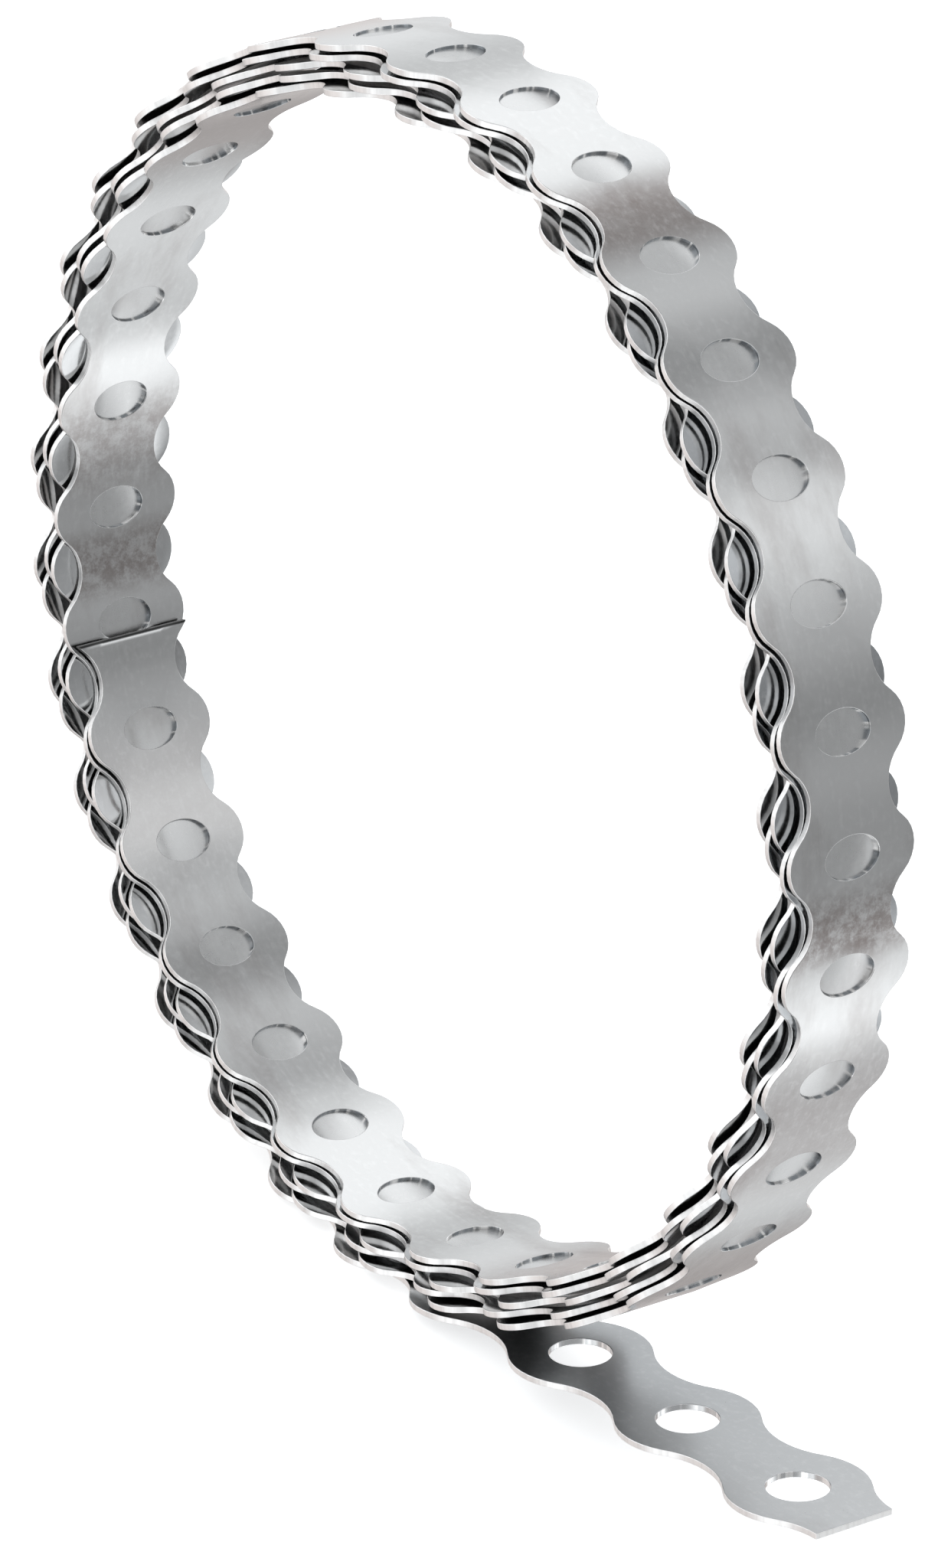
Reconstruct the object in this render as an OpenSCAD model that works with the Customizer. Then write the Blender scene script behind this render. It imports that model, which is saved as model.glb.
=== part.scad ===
// Loose roll of wavy-edged perforated fixing strap, standing on its rim. Its
// inner end makes it lean back a little, which lifts the strap's free end.
// Frame: X runs the way the free end points, Y is the coil's axis, Z is up.
// The origin is on the floor, under the middle of the roll's length, at the
// middle of the strap's width.

/* [Strap] */
// Width over two facing bulges
strap_w = 17; // [14:0.5:20]
// Width at the waists between the holes
waist_w = 10.7; // [9.6:0.1:13]
// Thickness of the sheet
strap_t = 0.8; // [0.6:0.05:1.2]
// Diameter of the punched holes
hole_d = 7.4; // [5:0.2:8.4]

/* [Coil] */
// Height of the standing coil, over its outermost turn
coil_d = 152.3; // [130:0.1:190]
// Clear gap between two turns
turn_gap = 0.5; // [0.3:0.05:0.9]
// Spacing of the holes where the strap is wound
wound_pitch = 14.2; // [12:0.1:17]
// Length along the strap of a hole where the strap is wound
wound_hole_l = 5.1; // [4:0.1:7]
// Number of holes in the wound part
wound_holes = 167; // [40:1:180]
// Wound strap before the first wound hole
wound_start = 11.2; // [9:0.1:14]
// Strap past the last wound hole, up to the inner end's cut
inner_end = 11.8; // [8:0.1:13]

/* [Free end] */
// Spacing of the holes in the free end, which is flat
tail_pitch = 20.85; // [17:0.05:24]
// Number of holes in the flat free end
tail_holes = 4; // [2:1:12]
// Flat strap between the coil and the first flat hole
tail_start = 4.8; // [4:0.1:8]
// Strap past the last flat hole, up to the outer end's cut
outer_end = 10.5; // [9:0.1:12]

/* [Hidden] */

steel = [0.74, 0.74, 0.73];
// Each wave of an edge is a bulge's arc on each side of a waist's arc. This is
// the bulge's share of the two radii together.
BULGE_SHARE = 0.455;
// The arcs are this much larger, so that they cross instead of only touching
OVERLAP = 0.02;
// Length of the flat at the top of a bulge, where its arc meets the sheet's side
BULGE_FLAT = 1.2;
// Height of the pointed oval that an oval hole is cut from, in hole diameters
OVAL_POINT = 1.1;
// Length of a cutting tool, enough to pass through the sheet where it is bent
TOOL_L = 4 * strap_t;
// How far a tool reaches past the strap's side
TOOL_OVER = 1;

turn_step = strap_t + turn_gap;
first_r = (coil_d - strap_t) / 2;
holes = tail_holes + wound_holes;
tail_end = tail_start + (tail_holes - 1) * tail_pitch + outer_end;
wound_end = wound_start + (wound_holes - 1) * wound_pitch + inner_end;

wave_h = (strap_w - waist_w) / 2;
hole_r = hole_d / 2;
oval_r = ((OVAL_POINT * hole_r) ^ 2 + (wound_hole_l / 2) ^ 2) / wound_hole_l;

// The coil is made of half turns. Each has a radius half a step smaller than
// the one before, and the centres alternate so that the half turns meet.
function arc_r(arc) = first_r - arc * turn_step / 2;
function arc_z(arc) = strap_t / 2 + first_r + (arc % 2) * turn_step / 2;
// Wound length, along the sheet's middle, before a half turn begins
function arc_start(arc) = PI * (arc * first_r - turn_step / 4 * arc * (arc - 1));
function arc_at(s, arc = 0) = s < arc_start(arc + 1) ? arc : arc_at(s, arc + 1);
function arc_turn(s, arc) = (s - arc_start(arc)) / arc_r(arc) * 180 / PI;

// Place of a hole along the strap: below 0 in the flat end, above 0 in the coil
function hole_s(n) = n < tail_holes
    ? -(tail_start + (tail_holes - 1 - n) * tail_pitch)
    : wound_start + (n - tail_holes) * wound_pitch;
// Distance from a hole to the next one inward
function span(n) = n < 0 ? tail_pitch
    : n >= holes - 1 ? wound_pitch
    : hole_s(n + 1) - hole_s(n);
// Place of the waist that follows a hole; -1 is the one at the outer end
function waist_s(n) = n < 0 ? hole_s(0) - tail_pitch / 2 : hole_s(n) + span(n) / 2;

// Moment of one half turn's length about the coil's centre, as [x, z]. All
// of the coil is worked out as it stands when the free end is level.
function arc_moment(arc) =
    let (r = arc_r(arc),
         begin = 180 * arc,
         end = begin + arc_turn(min(arc_start(arc + 1), wound_end), arc))
    [r ^ 2 * (cos(end) - cos(begin)),
     r * (arc_z(arc) - arc_z(0)) * (end - begin) * PI / 180 - r ^ 2 * (sin(end) - sin(begin))];
function coil_moment(arc) = arc < 0 ? [0, 0] : arc_moment(arc) + coil_moment(arc - 1);

// The roll leans back until its weight is over the place where it touches the
// floor. The floor stops it from leaning the other way.
moment = coil_moment(arc_at(wound_end)) + [tail_end ^ 2 / 2, -first_r * tail_end];
lean = max(0, atan2(-moment.x, -moment.y));
tip_x = tail_end * cos(lean) + coil_d / 2 * sin(lean);
middle_x = (max(tip_x, coil_d / 2) - coil_d / 2) / 2;

// Puts a tool on the strap: X through the sheet, Y along it, Z across it
module on_strap(s) {
    arc = arc_at(max(s, 0));
    if (s < 0)
        translate([-s, strap_t / 2, 0]) rotate([0, 0, -90]) children();
    else
        translate([0, arc_z(arc), 0])
            rotate([0, 0, -90 - 180 * arc - arc_turn(s, arc)])
                translate([arc_r(arc), 0, 0]) children();
}

// Both sides' offcut at one waist, between two bulges that are length apart
module waist_tool(length) {
    radii = ((length / 2) ^ 2 + wave_h ^ 2) / (2 * wave_h);
    bulge_r = BULGE_SHARE * radii + OVERLAP;
    waist_r = radii - BULGE_SHARE * radii + OVERLAP;
    bulge_y = strap_w / 2 - bulge_r + (BULGE_FLAT / 2) ^ 2 / (2 * bulge_r);
    waist_y = waist_w / 2 + waist_r;
    join_y = bulge_y + (waist_y - bulge_y) * BULGE_SHARE;
    top = strap_w / 2 + TOOL_OVER;
    reach = (length - BULGE_FLAT / 2) / 2;
    for (side = [0, 1])
        mirror([0, 0, side]) rotate([90, 0, 90])
            linear_extrude(height = TOOL_L, center = true) {
                difference() {
                    translate([-reach, join_y]) square([2 * reach, top - join_y]);
                    for (x = [-length / 2, length / 2])
                        translate([x, bulge_y]) circle(r = bulge_r, $fn = 96);
                }
                intersection() {
                    translate([0, waist_y]) circle(r = waist_r, $fn = 96);
                    translate([-reach, 0]) square([2 * reach, top]);
                }
            }
}

module hole_tool(n) {
    if (n < tail_holes)
        rotate([0, 90, 0]) cylinder(h = TOOL_L, r = hole_r, center = true, $fn = 64);
    else
        rotate([90, 0, 90]) linear_extrude(height = TOOL_L, center = true)
            intersection() {
                circle(r = hole_r, $fn = 64);
                oval_side(1);
                oval_side(-1);
            }
}

// One of the two long sides of an oval hole
module oval_side(side) {
    translate([side * (oval_r - wound_hole_l / 2), 0]) circle(r = oval_r, $fn = 64);
}

// All the tools that reach the strap between two places along it
module punch(from, to) {
    for (n = [-1 : holes - 1])
        if (waist_s(n) + span(n) / 2 > from && waist_s(n) - span(n) / 2 < to)
            on_strap(waist_s(n)) waist_tool(span(n));
    for (n = [0 : holes - 1])
        if (hole_s(n) + hole_r > from && hole_s(n) - hole_r < to)
            on_strap(hole_s(n)) hole_tool(n);
}

// The last half turn is cut off square at the strap's inner end
module half_turn(arc) {
    from = arc_start(arc);
    to = min(arc_start(arc + 1), wound_end);
    difference() {
        translate([0, arc_z(arc), 0]) rotate([0, 0, -270 - 180 * arc])
            rotate_extrude(angle = 180, $fn = 180)
                translate([arc_r(arc) - strap_t / 2, -strap_w / 2])
                    square([strap_t, strap_w]);
        punch(from, to);
        if (to == wound_end)
            translate([0, arc_z(arc), 0]) rotate([0, 0, -90 - 180 * arc - arc_turn(to, arc)])
                translate([-coil_d, -coil_d, -strap_w]) cube([2 * coil_d, coil_d, 2 * strap_w]);
    }
}

module free_end() {
    difference() {
        translate([0, 0, -strap_w / 2]) cube([tail_end, strap_t, strap_w]);
        punch(-tail_end, 0);
    }
}

module strap() {
    color(steel)
        translate([-middle_x, 0, coil_d / 2]) rotate([0, -lean, 0]) translate([0, 0, -coil_d / 2])
            rotate([90, 0, 0]) {
                free_end();
                for (arc = [0 : arc_at(wound_end)]) half_turn(arc);
            }
}

strap();
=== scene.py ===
"""The looks of a standing roll of perforated metal strap, laid out as an add-on."""

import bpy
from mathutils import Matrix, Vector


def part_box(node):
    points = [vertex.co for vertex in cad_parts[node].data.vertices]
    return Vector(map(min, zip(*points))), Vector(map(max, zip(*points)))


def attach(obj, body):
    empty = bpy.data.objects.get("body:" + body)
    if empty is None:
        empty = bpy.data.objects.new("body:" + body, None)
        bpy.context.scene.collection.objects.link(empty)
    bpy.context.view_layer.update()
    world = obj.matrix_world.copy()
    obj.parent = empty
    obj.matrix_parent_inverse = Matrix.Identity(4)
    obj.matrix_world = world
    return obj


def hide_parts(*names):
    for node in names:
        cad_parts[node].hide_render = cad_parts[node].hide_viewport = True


bl_info = {
    "name": "Perforated strap roll",
    "version": (1, 0, 0),
    "blender": (4, 5, 0),
    "location": "3D View > Sidebar > Strap roll",
    "description": "Builds a roll of wavy-edged perforated strap and its studio",
    "category": "Object",
}

import math

import bmesh
import bpy
from mathutils import Matrix, Vector

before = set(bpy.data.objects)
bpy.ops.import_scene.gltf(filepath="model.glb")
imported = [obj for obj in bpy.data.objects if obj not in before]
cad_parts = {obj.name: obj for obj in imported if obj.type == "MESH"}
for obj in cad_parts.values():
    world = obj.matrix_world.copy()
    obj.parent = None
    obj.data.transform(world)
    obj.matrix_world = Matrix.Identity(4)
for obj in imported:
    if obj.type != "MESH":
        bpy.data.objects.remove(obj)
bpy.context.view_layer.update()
# The frame's box before anything is added to it, and the strap's own corners
LOW, HIGH = (Vector(corner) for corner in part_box("strap"))
MM = 0.001

# How finely the strap is made: its rows of points across a waist, as shares of
# the half width from the middle out, the steps along its edge from a bulge to a
# waist, and the rings of faces round a hole
ROWS = (0.0, 0.73, 0.92)
WAVE_STEPS = 9
RINGS = 2
# The bulge's share of the two radii that make one wave of the edge
BULGE_SHARE = 0.455
# Points of the flat strap that are closer than this are one point
MERGE = 0.01 * MM
# Length over which a hidden turn's pressed middle rises out of the even coil
PRESS_RAMP = 6 * MM
# A fold sharper than the first shows as a crease, one sharper than the second
# is softened
CREASE = math.radians(10)
SHARP = math.radians(50)

# Noises on the strap: how many spots to a metre along and across it, how many
# finer layers they have and how strong those are
LINES = (60.0, 2600.0, 2.0, 0.5)
MOTTLE = (900.0, 1100.0, 4.0, 0.6)
PATCHES = (34.0, 90.0, 5.0, 0.62)
BLOTCHES = (420.0, 420.0, 6.0, 0.8)
PUNCH_MARKS = (1500.0, 1500.0, 2.0, 0.5)
# Painted glints of reflected light that streak the holes' walls
WALL_GLINTS = (400.0, 400.0, 1.0, 0.5)
# The values of those noises at which they begin to show and are full. The painted
# glints' is how far they are from the middle.
PATCHES_SHOW = (0.50, 0.78)
BLOTCHES_SHOW = (0.35, 0.62)
PUNCH_MARKS_SHOW = (0.40, 0.75)
WALL_GLINTS_SHOW = (0.07, 0.01)
# How much of their colour the faint patches and the punch's marks have
PATCHES_SHADE = 0.34
PUNCH_MARKS_SHADE = 0.35
# How much lighter the mottle and the rolling lines make the faces
MOTTLE_LIGHT = 0.5
LINES_LIGHT = 0.15
# How much painted shade darkens the hidden turns' edges, seen in the gaps between the
# turns, and how much more on the +X side
EDGE_SHADE = 0.4
EDGE_SHADE_X_SIDE = 0.6
# How much painted shade from the coil darkens the free end, and how much less at its
# tip
FREE_END_SHADE = 0.9
TIP_LESS_SHADE = 0.4
# How much each of these changes the roughness of the faces, and the last one
# that of the cuts
MOTTLE_ROUGH = 0.12
LINES_ROUGH = 0.05
SMUDGE_AND_REFLECTION_ROUGH = 0.06
RUBBED_ROUGH = 0.12
EDGE_ROUGH = -0.04
FREE_END_ROUGH = 0.14
PUNCH_MARKS_ROUGH = 0.15

# Length over which one finish and painted shade of the strap gives way to the next
FADE = 3 * MM
# Where the free end's painted shade gives way towards its tip, along the strap
TIP_FADE = (-30 * MM, -85 * MM)
# From here to here, +X of the roll's middle, the painted shade on the hidden turns'
# edges grows darker
SHADED_SIDE = (0.0, 50 * MM)
# How far before the inner end its face and its cut are painted dark with shadow
FACE_SHADOW = (0.4 * MM, 0.2 * MM)
CUT_SHADOW = (2 * MM, 1 * MM)
# A cut is a hole's wall if it is further than this from both ends of the strap,
# and nearer than this to the strap's middle line
WALL_FROM_ENDS = (2 * MM, 4 * MM)
WALL_ACROSS = (4 * MM, 5 * MM)
# Painted dark reflections on the strap's faces, as bands: the place that they are
# measured from, how far past it they lie and how far they reach, in millimetres, how
# dark they are, and how much of each is mottled
PAINTED_REFLECTIONS = (
    ("coil", 275, 8, 0.85, 0.15),
    ("coil", 360, 6, 0.85, 0.70),
    ("coil", 388, 17, 0.55, 0.15),
    ("inner_turn", 9, 6, 0.85, 0.70),
    ("inner_turn", 24, 9, 0.55, 0.70),
    ("inner_turn", 322, 16, 0.65, 0.15),
    ("end", -20, 13, 0.32, 0.15),
)
# Share of a painted reflection's reach that is as dark as its middle
REFLECTION_CORE = 0.2
# Colours of the zinc's light spots, of the punch's marks and of the painted shadow at
# the inner end
LIGHT_ZINC = (0.80, 0.80, 0.80)
PUNCH_MARK = (0.68, 0.66, 0.65)
END_SHADOW = (0.05, 0.05, 0.05)
# How dark the painted shadow on the inner end's cut is, and how much less painted shade
# the round holes' walls have than the oval ones'
CUT_SHADOW_DEPTH = 0.9
ROUND_WALL_LESS_SHADE = 0.5
# Roughness of the holes' walls, which the punch has rubbed smooth
WALL_ROUGHNESS = 0.16

# Half the floor's side, the nearest and furthest that the camera sees, and the
# width of its sensor in millimetres
FLOOR_REACH = 6.0
CLIP = (0.05, 50.0)
SENSOR = 36.0
# Brightness of the surroundings, by degrees up from +X and on round the Y axis
SURROUND = (
    (-180, 1.19), (-158, 0.81), (-134, 0.68), (-120, 0.51), (-102, 0.66),
    (-86, 1.23), (-66, 1.14), (-54, 0.94), (-46, 1.98), (-38, 1.47), (-30, 1.03),
    (-22, 0.48), (-6, 0.47), (2, 0.60), (14, 0.37), (26, 0.67), (34, 0.86),
    (42, 1.28), (50, 1.33), (58, 0.68), (66, 0.93), (74, 0.48), (80, 0.43),
    (90, 0.97), (106, 0.61), (114, 1.13), (122, 1.63), (147, 1.61), (154, 1.02),
    (162, 0.86), (180, 1.19),
)
# Where the light from below gets warm and where it stops, in the same degrees
WARM_FROM = (-172.8, -158.4)
WARM_TO = (-111.6, -93.6)
# Where the light from the -Y side begins and where it is full, by its direction's Y
FRONT = (-0.3, -0.8)


class StrapSettings(bpy.types.PropertyGroup):
    """Sizes of the strap and of its coil."""

    width: bpy.props.FloatProperty(
        name="Width", description="Width over two facing bulges",
        default=HIGH.y - LOW.y, min=0.01, unit="LENGTH", precision=4)
    waist: bpy.props.FloatProperty(
        name="Waist", description="Width at the waists between the holes",
        default=10.7 * MM, min=0.005, unit="LENGTH", precision=4)
    thickness: bpy.props.FloatProperty(
        name="Thickness", description="Thickness of the sheet",
        default=0.8 * MM, min=0.0002, unit="LENGTH", precision=5)
    hole: bpy.props.FloatProperty(
        name="Hole", description="Diameter of the punched holes",
        default=7.4 * MM, min=0.001, unit="LENGTH", precision=4)
    coil_height: bpy.props.FloatProperty(
        name="Coil height", description="Height of the standing coil",
        default=HIGH.z - LOW.z, min=0.05, unit="LENGTH", precision=4)
    lean: bpy.props.FloatProperty(
        name="Lean", description="How far the roll leans back, off its free end",
        default=math.radians(9.165), subtype="ANGLE")
    gap: bpy.props.FloatProperty(
        name="Gap", description="Clear gap between two turns",
        default=0.5 * MM, min=0.0001, unit="LENGTH", precision=5)
    wound_pitch: bpy.props.FloatProperty(
        name="Wound spacing", description="Spacing of the holes in the coil",
        default=14.2 * MM, min=0.005, unit="LENGTH", precision=5)
    wound_hole: bpy.props.FloatProperty(
        name="Wound hole length",
        description="Length along the strap of a hole in the coil",
        default=5.1 * MM, min=0.001, unit="LENGTH", precision=5)
    wound_holes: bpy.props.IntProperty(
        name="Wound holes", description="Number of holes in the coil",
        default=167, min=2)
    wound_start: bpy.props.FloatProperty(
        name="Wound start", description="Wound strap before the first hole",
        default=11.2 * MM, min=0.0, unit="LENGTH", precision=5)
    inner_end: bpy.props.FloatProperty(
        name="Inner end", description="Strap past the last wound hole",
        default=11.8 * MM, min=0.001, unit="LENGTH", precision=5)
    flat_pitch: bpy.props.FloatProperty(
        name="Flat spacing", description="Spacing of the holes in the flat end",
        default=20.85 * MM, min=0.005, unit="LENGTH", precision=5)
    flat_holes: bpy.props.IntProperty(
        name="Flat holes", description="Number of holes in the flat end",
        default=4, min=2)
    flat_start: bpy.props.FloatProperty(
        name="Flat start", description="Flat strap between the coil and the first hole",
        default=4.8 * MM, min=0.0, unit="LENGTH", precision=5)
    outer_end: bpy.props.FloatProperty(
        name="Outer end", description="Flat strap past the last flat hole",
        default=10.5 * MM, min=0.0, unit="LENGTH", precision=5)
    recess: bpy.props.FloatProperty(
        name="Recess", description="Depth of a wound hole down to the turn behind it",
        default=0.32 * MM, min=0.0, unit="LENGTH", precision=5)
    edge_round: bpy.props.FloatProperty(
        name="Edge round", description="Width of the softened edges",
        default=0.13 * MM, min=0.0, unit="LENGTH", precision=5)


class SteelSettings(bpy.types.PropertyGroup):
    """Colours and gloss of the galvanised steel, with the colours of its painted shade
    and reflections.
    """

    face: bpy.props.FloatVectorProperty(
        name="Face", description="Colour of the sheet's faces", subtype="COLOR",
        default=(0.56, 0.56, 0.558), min=0.0, max=1.0)
    # Colour of the faint smudges and of the painted dark reflections on the faces
    smudge_and_reflection: bpy.props.FloatVectorProperty(
        name="Smudge", description="Colour of the faint smudges", subtype="COLOR",
        default=(0.255, 0.225, 0.215), min=0.0, max=1.0)
    # Colour of the painted shade on the free end and in the gaps between the turns
    painted_shade: bpy.props.FloatVectorProperty(
        name="Dull", description="Colour of the free end and between the turns",
        subtype="COLOR", default=(0.38, 0.39, 0.40), min=0.0, max=1.0)
    cut: bpy.props.FloatVectorProperty(
        name="Cut edge", description="Colour of the bright cut edges", subtype="COLOR",
        default=(0.975, 0.965, 0.955), min=0.0, max=1.0)
    # Painted shade of the holes' walls, between their painted glints
    shaded_hole_wall: bpy.props.FloatVectorProperty(
        name="Hole wall", subtype="COLOR",
        description="Colour of the holes' walls between their streaks",
        default=(0.28, 0.30, 0.32), min=0.0, max=1.0)
    roughness: bpy.props.FloatProperty(
        name="Roughness", description="Roughness of the sheet's faces",
        default=0.17, min=0.0, max=1.0, subtype="FACTOR")
    cut_roughness: bpy.props.FloatProperty(
        name="Cut roughness", description="Roughness of the cut edges",
        default=0.38, min=0.0, max=1.0, subtype="FACTOR")


class StudioSettings(bpy.types.PropertyGroup):
    """Camera, floor and light."""

    azimuth: bpy.props.FloatProperty(
        name="Azimuth", description="Camera's turn round the roll",
        default=math.radians(51.861), subtype="ANGLE")
    elevation: bpy.props.FloatProperty(
        name="Elevation", description="Camera's height above the horizon",
        default=math.radians(30.228), subtype="ANGLE")
    roll: bpy.props.FloatProperty(
        name="Roll", description="Camera's turn about its own line of sight",
        default=math.radians(6.209), subtype="ANGLE")
    distance: bpy.props.FloatProperty(
        name="Distance", description="Distance from the camera to its target",
        default=1.1191, unit="LENGTH")
    target: bpy.props.FloatVectorProperty(
        name="Target", description="Point that the camera looks at",
        default=(-0.000224, 0.0, 0.065825), unit="LENGTH")
    lens: bpy.props.FloatProperty(
        name="Lens", description="Focal length in millimetres", default=223.57)
    floor: bpy.props.FloatVectorProperty(
        name="Floor", description="Colour of the floor", subtype="COLOR",
        default=(0.95, 0.95, 0.95), min=0.0, max=1.0)
    floor_glow: bpy.props.FloatProperty(
        name="Floor glow", description="Light that the floor gives by itself",
        default=0.50)
    tint: bpy.props.FloatVectorProperty(
        name="Tint", description="Colour of the surroundings' light", subtype="COLOR",
        default=(0.965, 0.985, 1.0), min=0.0, max=1.0)
    tint_below: bpy.props.FloatVectorProperty(
        name="Tint below", description="Colour of the light from below, on the -X side",
        subtype="COLOR", default=(1.0, 0.945, 0.93), min=0.0, max=1.0)
    surround: bpy.props.FloatProperty(
        name="Surround", description="Gain of the surroundings' brightness",
        default=1.0)
    front_light: bpy.props.FloatProperty(
        name="Front light", description="Brightness of the soft light from the -Y side",
        default=0.13)


class Spiral:
    """Where a place on the flat strap goes when the strap is wound.

    The coil is made of half turns. Each has a radius half a step smaller than
    the one before, and the centres alternate so that the half turns meet. The
    flat end lies on the floor here, before the roll leans back.
    """

    def __init__(self, strap):
        self.thickness, self.gap, self.recess = strap.thickness, strap.gap, strap.recess
        self.step = strap.thickness + strap.gap
        self.first_radius = (strap.coil_height - strap.thickness) / 2
        # Half widths at which a turn's pressed middle begins to fall off and ends
        self.seat = [row * strap.waist / 2 for row in ROWS[1:]]
        flat = (strap.flat_holes - 1) * strap.flat_pitch
        wound = (strap.wound_holes - 1) * strap.wound_pitch
        self.tip = -(strap.flat_start + flat + strap.outer_end)
        self.end = strap.wound_start + wound + strap.inner_end
        # Where the coil starts, where its outermost turn ends, and where its
        # innermost one begins
        self.coil = 0.0
        self.outer_turn = self.start(2)
        self.inner_turn = self.end - math.tau * self.radius(self.arc(self.end) - 1)

    def radius(self, arc):
        """Radius of the sheet's middle in a half turn."""
        return self.first_radius - arc * self.step / 2

    def start(self, arc):
        """Wound length before a half turn begins."""
        return math.pi * (arc * self.first_radius - self.step / 4 * arc * (arc - 1))

    def arc(self, along):
        """Which half turn holds a length along the strap."""
        arc = 0
        while along >= self.start(arc + 1):
            arc += 1
        return arc

    def press(self, along, across):
        """How far a hidden turn is pressed outwards, or inwards if below 0.

        Only its middle is, into the holes of the turn that hides it.
        """
        inner, outer = self.seat
        middle = min(max((outer - abs(across)) / (outer - inner), 0), 1)
        reach = math.tau * self.radius(2) + PRESS_RAMP
        outward = min(along - self.outer_turn, self.outer_turn + reach - along)
        inward = min(self.inner_turn - along, along - self.inner_turn + reach)
        share = (
            min(max(outward / PRESS_RAMP, 0), 1) - min(max(inward / PRESS_RAMP, 0), 1))
        return middle * share * (self.gap + self.thickness - self.recess)

    def place(self, along, across):
        """The sheet's middle at a length along the strap, below 0 in the flat end."""
        if along <= 0:
            return Vector((-along, across, self.thickness / 2))
        arc = self.arc(along)
        radius = self.radius(arc)
        turn = math.pi * arc + (along - self.start(arc)) / radius
        centre = self.thickness / 2 + self.first_radius + arc % 2 * self.step / 2
        radius += self.press(along, across)
        return Vector((
            -radius * math.sin(turn), across, centre - radius * math.cos(turn)))


class Wave:
    """Half of one wave of the edge: an arc from a bulge and an arc into a waist."""

    def __init__(self, strap, span):
        self.half = span / 2
        self.top = strap.width / 2
        self.waist = strap.waist / 2
        height = self.top - self.waist
        radii = (self.half ** 2 + height ** 2) / (2 * height)
        self.bulge = BULGE_SHARE * radii
        self.hollow = radii - self.bulge
        self.angle = math.asin(self.half / radii)

    def point(self, share):
        """Length past the bulge and half width, at a share of the way to the waist."""
        if share < BULGE_SHARE:
            turn = self.angle * share / BULGE_SHARE
            return (
                self.bulge * math.sin(turn),
                self.top - self.bulge * (1 - math.cos(turn)))
        turn = self.angle * (1 - share) / (1 - BULGE_SHARE)
        return (
            self.half - self.hollow * math.sin(turn),
            self.waist + self.hollow * (1 - math.cos(turn)))


def flat_cell(bm, strap, place, before, after, hole_length):
    """One hole and the strap round it, up to the waists of the waves either side."""
    quarter = len(ROWS) + WAVE_STEPS
    steps = 4 * quarter
    rim = bmesh.ops.create_circle(bm, segments=steps, radius=strap.hole / 2)["verts"]
    bmesh.ops.scale(bm, vec=(hole_length / strap.hole, 1, 1), verts=rim)
    outline = bmesh.ops.create_circle(bm, segments=steps, radius=strap.width)["verts"]
    for vert in outline:
        # Step 0 lies at a waist, a quarter of the steps on at a bulge
        step = round(math.atan2(vert.co.y, vert.co.x) / math.tau * steps)
        side, step = math.copysign(1, step), abs(step)
        forward = step <= quarter
        wave = after if forward else before
        to_waist = step if forward else 2 * quarter - step
        x, y = wave.point(min((quarter - to_waist) / WAVE_STEPS, 1))
        if to_waist < len(ROWS):
            y *= ROWS[to_waist]
        vert.co = (x if forward else -x, side * y, 0)
    loops = {edge for vert in rim + outline for edge in vert.link_edges}
    ring = bmesh.ops.bridge_loops(bm, edges=list(loops))
    spokes = [e for e in ring["edges"] if (e.verts[0] in rim) != (e.verts[1] in rim)]
    bmesh.ops.subdivide_edges(bm, edges=spokes, cuts=RINGS - 1, use_grid_fill=True)
    bmesh.ops.translate(bm, vec=(place, 0, 0), verts=bm.verts)


def flat_plain(bm, place, wave, side):
    """Half a wave of plain strap, before (-1) or after (1) the bulge at place."""
    grid = bmesh.ops.create_grid(
        bm, x_segments=WAVE_STEPS, y_segments=2 * len(ROWS), size=0.5)
    for vert in grid["verts"]:
        row = round(2 * len(ROWS) * vert.co.y)
        x, y = wave.point(0.5 + vert.co.x)
        if abs(row) < len(ROWS):
            y = wave.waist * ROWS[abs(row)]
        vert.co = (place + side * x, side * math.copysign(y, row), 0)


def flat_strap(strap, spiral):
    """The whole strap, unwound: X is the length along it, Y is across it."""
    flat, wound = strap.flat_holes, strap.wound_holes
    places = [-(strap.flat_start + n * strap.flat_pitch) for n in reversed(range(flat))]
    places += [strap.wound_start + n * strap.wound_pitch for n in range(wound)]
    spans = [2 * strap.outer_end]
    spans += [after - before for before, after in zip(places, places[1:])]
    spans += [strap.wound_pitch]
    waves = [Wave(strap, span) for span in spans]
    margin = strap.wound_pitch / 2
    strip = bmesh.new()
    for n, place in enumerate(places):
        part = bmesh.new()
        # Only the outermost and the innermost turn show their holes
        if spiral.outer_turn + margin < place < spiral.inner_turn - margin:
            flat_plain(part, place, waves[n], -1)
            flat_plain(part, place, waves[n + 1], 1)
        else:
            hole_length = strap.hole if n < flat else strap.wound_hole
            flat_cell(part, strap, place, waves[n], waves[n + 1], hole_length)
        add_part(strip, part)
    part = bmesh.new()
    flat_plain(part, places[-1] + strap.wound_pitch, waves[-1], -1)
    add_part(strip, part)
    bmesh.ops.bisect_plane(
        strip, geom=strip.verts[:] + strip.edges[:] + strip.faces[:], dist=MERGE,
        plane_co=(spiral.end, 0, 0), plane_no=(1, 0, 0), clear_outer=True)
    bmesh.ops.remove_doubles(strip, verts=strip.verts, dist=MERGE)
    bmesh.ops.recalc_face_normals(strip, faces=strip.faces)
    return strip


def add_part(strip, part):
    """Adds one bmesh to another and frees it."""
    mesh = bpy.data.meshes.new("part")
    part.to_mesh(mesh)
    part.free()
    strip.from_mesh(mesh)
    bpy.data.meshes.remove(mesh)


def wound_strap(strap, spiral):
    """The strap in its coil, leaned back, with its unwound shape as its UV map."""
    bm = flat_strap(strap, spiral)
    uv = bm.loops.layers.uv.new("strap")
    for face in bm.faces:
        face.smooth = True
        for loop in face.loops:
            loop[uv].uv = loop.vert.co.xy
    for vert in bm.verts:
        vert.co = spiral.place(vert.co.x, vert.co.y)
    for edge in bm.edges:
        edge.smooth = edge.calc_face_angle(0) < CREASE
    half_height = strap.coil_height / 2
    bmesh.ops.rotate(
        bm, verts=bm.verts, cent=(0, 0, half_height),
        matrix=Matrix.Rotation(-strap.lean, 3, "Y"))
    bmesh.ops.translate(bm, verts=bm.verts, vec=(LOW.x + half_height, 0, 0))
    return bm


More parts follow.
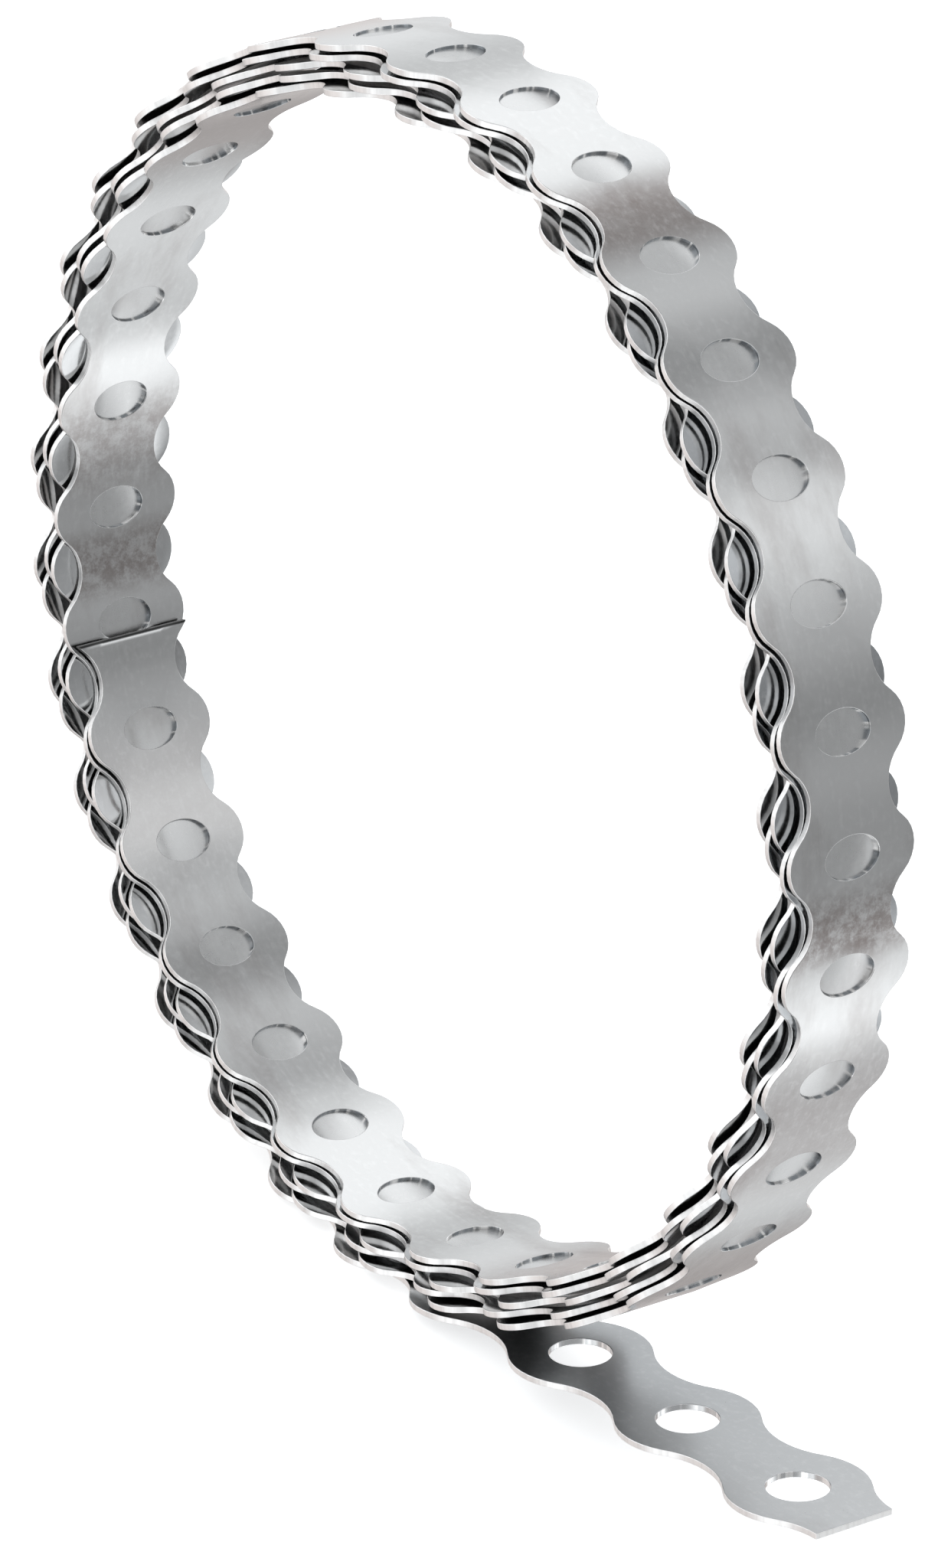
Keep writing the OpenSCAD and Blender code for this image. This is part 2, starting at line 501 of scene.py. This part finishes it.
class Wire:
    """An output of a node. Arithmetic on it adds Math nodes."""

    def __init__(self, tree, socket):
        self.tree, self.socket = tree, socket

    def __add__(self, other):
        return math_node(self.tree, "ADD", self, other)

    def __sub__(self, other):
        return math_node(self.tree, "SUBTRACT", self, other)

    def __mul__(self, other):
        return math_node(self.tree, "MULTIPLY", self, other)

    def __rsub__(self, other):
        return math_node(self.tree, "SUBTRACT", other, self)

    def __abs__(self):
        return math_node(self.tree, "ABSOLUTE", self)

    __radd__ = __add__
    __rmul__ = __mul__

    def between(self, low, high):
        """0 at low, 1 at high, smooth in between."""
        return add_node(
            self.tree, "ShaderNodeMapRange", {"interpolation_type": "SMOOTHSTEP"},
            {"Value": self, "From Min": low, "From Max": high})


def add_node(tree, kind, settings=None, values=None, output=0):
    """One node with its settings and the values or links of its sockets."""
    node = tree.nodes.new(kind)
    for name, value in (settings or {}).items():
        setattr(node, name, value)
    for name, value in (values or {}).items():
        if isinstance(value, Wire):
            tree.links.new(value.socket, node.inputs[name])
        else:
            node.inputs[name].default_value = value
    return Wire(tree, node.outputs[output]) if node.outputs else None


def math_node(tree, operation, *values):
    """A Math node on these values or links."""
    settings = {"operation": operation}
    return add_node(tree, "ShaderNodeMath", settings, dict(enumerate(values)))


def parts_of(vector):
    """The three numbers of a vector."""
    first = add_node(vector.tree, "ShaderNodeSeparateXYZ", {}, {"Vector": vector})
    return [Wire(vector.tree, socket) for socket in first.socket.node.outputs]


def mix_colour(factor, low, high):
    """low where factor is 0 and high where it is 1. Either may be a Wire."""
    low, high = (c if isinstance(c, Wire) else (*c, 1.0) for c in (low, high))
    # A Mix node's sockets 6 and 7 and its output 2 are the ones for colours
    return add_node(
        factor.tree, "ShaderNodeMix", {"data_type": "RGBA"},
        {0: factor, 6: low, 7: high}, 2)


def noise(where, along, across, detail, roughness):
    """Noise from 0 to 1 on the strap, with so many spots to a metre each way."""
    stretched = add_node(
        where.tree, "ShaderNodeVectorMath", {"operation": "MULTIPLY"},
        {0: where, 1: (along, across, 1.0)})
    return add_node(
        where.tree, "ShaderNodeTexNoise", {"noise_dimensions": "2D"},
        {"Vector": stretched, "Scale": 1.0, "Detail": detail, "Roughness": roughness})


def new_material(name):
    """An empty material and its node tree."""
    material = bpy.data.materials.new(name)
    material.use_nodes = True
    material.node_tree.nodes.clear()
    return material, material.node_tree


def add_shader(tree, **values):
    """The material's shader, with _ for a space in the names of its sockets."""
    sockets = {name.replace("_", " "): value for name, value in values.items()}
    shader = add_node(tree, "ShaderNodeBsdfPrincipled", {}, sockets)
    add_node(tree, "ShaderNodeOutputMaterial", {}, {"Surface": shader})


def on_strap(tree):
    """The place on the unwound strap, then how far that is along and across it."""
    where = add_node(tree, "ShaderNodeUVMap", {"uv_map": "strap"})
    along, across, _ = parts_of(where)
    return where, along, across


def painted_end_shadow(along, spiral, before):
    """1 at the strap's inner end, where a painted shadow darkens it over these lengths
    before it.
    """
    return along.between(*(spiral.end - length for length in before))


def galvanised_face(steel, spiral):
    """The sheet's faces: satin zinc with faint rolling lines, smudges and painted dark
    reflections.

    The turns in between are rougher where they rest on one another, and smoother along
    their edges, which painted shade darkens in the gaps between the turns. The free end
    is darkened with painted shade from the coil, less so at its tip.
    """
    material, tree = new_material("galvanised_face")
    where, along, across = on_strap(tree)
    spot = add_node(tree, "ShaderNodeTexCoord", {}, {}, "Object")
    right = parts_of(spot)[0].between(*SHADED_SIDE)
    hidden = (
        along.between(spiral.outer_turn, spiral.outer_turn + FADE)
        - along.between(spiral.inner_turn - FADE, spiral.inner_turn))
    edge = hidden * abs(across).between(*spiral.seat)
    rubbed = hidden - edge
    free_end = along.between(FADE, -FADE)

    lines = noise(where, *LINES)
    mottle = noise(where, *MOTTLE)
    blotches = noise(where, *BLOTCHES).between(*BLOTCHES_SHOW)
    smudge_and_reflection = noise(where, *PATCHES).between(*PATCHES_SHOW) * PATCHES_SHADE
    # The faint patches are smudges; the bands added here are painted dark reflections,
    # placed along the strap
    for start, past, reach, shade, mottled in PAINTED_REFLECTIONS:
        away = abs(along - (getattr(spiral, start) + past * MM))
        near = away.between(reach * MM, REFLECTION_CORE * reach * MM)
        smudge_and_reflection = smudge_and_reflection + near * shade * (1 - (1 - blotches) * mottled)

    # How far each of these is from even, so that they cancel out over the sheet
    ruled, uneven = lines - 0.5, mottle - 0.5
    tip = along.between(*TIP_FADE)
    # Painted shade: in the gaps between the turns, darker on the +X side, and on the
    # free end under the coil, less at its tip
    painted_shade = edge * (EDGE_SHADE + right * EDGE_SHADE_X_SIDE)
    painted_shade = painted_shade + free_end * (FREE_END_SHADE - tip * TIP_LESS_SHADE)
    light = uneven * MOTTLE_LIGHT + ruled * LINES_LIGHT
    colour = mix_colour(smudge_and_reflection, steel.face, steel.smudge_and_reflection)
    colour = mix_colour(painted_shade, colour, steel.painted_shade)
    colour = mix_colour(light, colour, LIGHT_ZINC)
    # Painted shadow on the inner end's face
    colour = mix_colour(painted_end_shadow(along, spiral, FACE_SHADOW), colour, END_SHADOW)
    rough = steel.roughness + uneven * MOTTLE_ROUGH + ruled * LINES_ROUGH
    rough = rough + smudge_and_reflection * SMUDGE_AND_REFLECTION_ROUGH + rubbed * RUBBED_ROUGH
    rough = rough + edge * EDGE_ROUGH + free_end * FREE_END_ROUGH
    bump = add_node(
        tree, "ShaderNodeBump", {},
        {"Strength": 0.05, "Distance": 0.05 * MM, "Height": mottle * 0.8 + lines * 0.2})
    add_shader(tree, Base_Color=colour, Roughness=rough, Normal=bump, Metallic=1.0)
    return material


def bright_cut(steel, spiral):
    """The cut edges: bright steel, with the marks of the punch across the sheet.

    The walls of the holes are smoother than the outer edges and darker with painted
    shade, streaked with painted glints and less shaded in the flat end; the inner end's
    cut is darkened by a painted shadow.
    """
    material, tree = new_material("bright_cut")
    where, along, across = on_strap(tree)
    near, far = WALL_FROM_ENDS
    between_ends = (
        along.between(spiral.tip + near, spiral.tip + far)
        - along.between(spiral.end - far, spiral.end - near))
    outer_edge = 1 - between_ends * (1 - abs(across).between(*WALL_ACROSS))
    free_end = along.between(FADE, -FADE)
    marks = noise(where, *PUNCH_MARKS)
    # Painted glints of reflected light, streaking the holes' walls
    glints = abs(noise(where, *WALL_GLINTS) - 0.5).between(*WALL_GLINTS_SHOW)

    marked = marks.between(*PUNCH_MARKS_SHOW) * PUNCH_MARKS_SHADE
    # Painted shadow on the inner end's cut
    shadowed_cut = painted_end_shadow(along, spiral, CUT_SHADOW) * CUT_SHADOW_DEPTH
    # The holes' walls are painted shade, lit by the painted glints, and less shaded in
    # the flat end
    wall_light = glints + free_end * ROUND_WALL_LESS_SHADE
    wall = mix_colour(wall_light, steel.shaded_hole_wall, steel.cut)
    colour = mix_colour(outer_edge, wall, steel.cut)
    colour = mix_colour(marked, colour, PUNCH_MARK)
    colour = mix_colour(shadowed_cut, colour, END_SHADOW)
    rough = WALL_ROUGHNESS + outer_edge * (steel.cut_roughness - WALL_ROUGHNESS)
    rough = rough + (marks - 0.5) * PUNCH_MARKS_ROUGH
    add_shader(tree, Base_Color=colour, Roughness=rough, Metallic=1.0)
    return material


def new_piece(context, name, bm):
    """A new object with the mesh of a bmesh, which is freed."""
    mesh = bpy.data.meshes.new(name)
    bm.to_mesh(mesh)
    bm.free()
    piece = bpy.data.objects.new(name, mesh)
    context.collection.objects.link(piece)
    return piece


class STRAP_OT_build(bpy.types.Operator):
    """Makes the wound strap with its holes, wavy edges and steel"""

    bl_idname = "strap.build"
    bl_label = "Build strap"

    def execute(self, context):
        strap, steel = context.scene.strap_sizes, context.scene.strap_steel
        spiral = Spiral(strap)
        piece = new_piece(context, "strap_sheet", wound_strap(strap, spiral))
        piece.data.materials.append(galvanised_face(steel, spiral))
        piece.data.materials.append(bright_cut(steel, spiral))
        sheet = piece.modifiers.new("Sheet", "SOLIDIFY")
        sheet.thickness, sheet.offset = strap.thickness, 0.0
        sheet.use_even_offset = True
        # The edges take the next material after the faces'
        sheet.material_offset_rim = 1
        soften = piece.modifiers.new("Edges", "BEVEL")
        soften.width, soften.segments = strap.edge_round, 2
        soften.limit_method, soften.angle_limit = "ANGLE", SHARP
        soften.harden_normals = True
        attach(piece, "root")
        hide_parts("strap")
        return {"FINISHED"}


def share_round(degrees):
    """Degrees up from +X and on round the Y axis, as a share of the whole way round."""
    return degrees / 360 + 0.5


def light_tent(studio):
    """Soft light from all round, in long bands that lie along Y.

    It is a little warm from below and a little brighter from the front.
    """
    world = bpy.data.worlds.new("light_tent")
    world.use_nodes = True
    tree = world.node_tree
    tree.nodes.clear()
    # The first output is the direction that the light comes from
    x, y, z = parts_of(add_node(tree, "ShaderNodeTexCoord"))
    round_y = math_node(tree, "ARCTAN2", z, x) * (1 / math.tau) + 0.5
    # The bands are grey, so Math nodes can take their brightness as a number
    bands = add_node(tree, "ShaderNodeValToRGB", {}, {"Fac": round_y})
    ramp = bands.socket.node.color_ramp
    peak = max(value for degrees, value in SURROUND)
    for degrees, value in SURROUND[1:-1]:
        ramp.elements.new(share_round(degrees))
    for stop, (degrees, value) in zip(ramp.elements, SURROUND):
        stop.color = (value / peak, value / peak, value / peak, 1.0)
    front = y.between(*FRONT) * studio.front_light
    light = bands * (peak * studio.surround) + front
    below = (
        round_y.between(*map(share_round, WARM_FROM))
        - round_y.between(*map(share_round, WARM_TO)))
    tint = mix_colour(below, studio.tint, studio.tint_below)
    background = add_node(
        tree, "ShaderNodeBackground", {}, {"Color": tint, "Strength": light})
    add_node(tree, "ShaderNodeOutputWorld", {}, {"Surface": background})
    return world


class STRAP_OT_stage(bpy.types.Operator):
    """Makes the floor, the light all round and the camera"""

    bl_idname = "strap.stage"
    bl_label = "Build studio"

    def execute(self, context):
        studio = context.scene.strap_studio
        bm = bmesh.new()
        bmesh.ops.create_grid(bm, x_segments=1, y_segments=1, size=FLOOR_REACH)
        floor = new_piece(context, "floor", bm)
        material, tree = new_material("pale_floor")
        add_shader(
            tree, Base_Color=(*studio.floor, 1.0), Roughness=0.9,
            Emission_Color=(1.0, 1.0, 1.0, 1.0), Emission_Strength=studio.floor_glow)
        floor.data.materials.append(material)
        # The steel shows the surroundings' bands and not the floor
        floor.visible_glossy = False

        context.scene.world = light_tent(studio)
        context.scene.view_settings.view_transform = "Standard"

        lens = bpy.data.cameras.new("camera")
        lens.lens, lens.sensor_width = studio.lens, SENSOR
        lens.clip_start, lens.clip_end = CLIP
        camera = bpy.data.objects.new("camera", lens)
        level = math.cos(studio.elevation)
        back = Vector((
            math.sin(studio.azimuth) * level,
            -math.cos(studio.azimuth) * level,
            math.sin(studio.elevation)))
        camera.location = Vector(studio.target) + back * studio.distance
        aim = (-back).to_track_quat("-Z", "Y").to_matrix()
        camera.rotation_euler = (aim @ Matrix.Rotation(studio.roll, 3, "Z")).to_euler()
        context.collection.objects.link(camera)
        context.scene.camera = camera
        return {"FINISHED"}


class STRAP_PT_panel(bpy.types.Panel):
    """Lists the sizes and the builders"""

    bl_idname = "STRAP_PT_panel"
    bl_label = "Strap roll"
    bl_space_type = "VIEW_3D"
    bl_region_type = "UI"
    bl_category = "Strap roll"

    def draw(self, context):
        for group in SETTINGS:
            settings = getattr(context.scene, group)
            column = self.layout.column()
            for name in settings.__annotations__:
                column.prop(settings, name)
        for operator in OPERATORS:
            self.layout.operator(operator.bl_idname)


SETTINGS = {
    "strap_sizes": StrapSettings,
    "strap_steel": SteelSettings,
    "strap_studio": StudioSettings,
}
OPERATORS = (STRAP_OT_build, STRAP_OT_stage)
CLASSES = (*SETTINGS.values(), *OPERATORS, STRAP_PT_panel)


def register():
    """Registers the classes and gives every scene the settings."""
    for cls in CLASSES:
        bpy.utils.register_class(cls)
    for name, group in SETTINGS.items():
        setattr(bpy.types.Scene, name, bpy.props.PointerProperty(type=group))


def unregister():
    """Takes the settings and the classes away again."""
    for name in SETTINGS:
        delattr(bpy.types.Scene, name)
    for cls in reversed(CLASSES):
        bpy.utils.unregister_class(cls)


def main():
    register()
    bpy.ops.strap.build()
    bpy.ops.strap.stage()


if __name__ == "__main__":
    main()
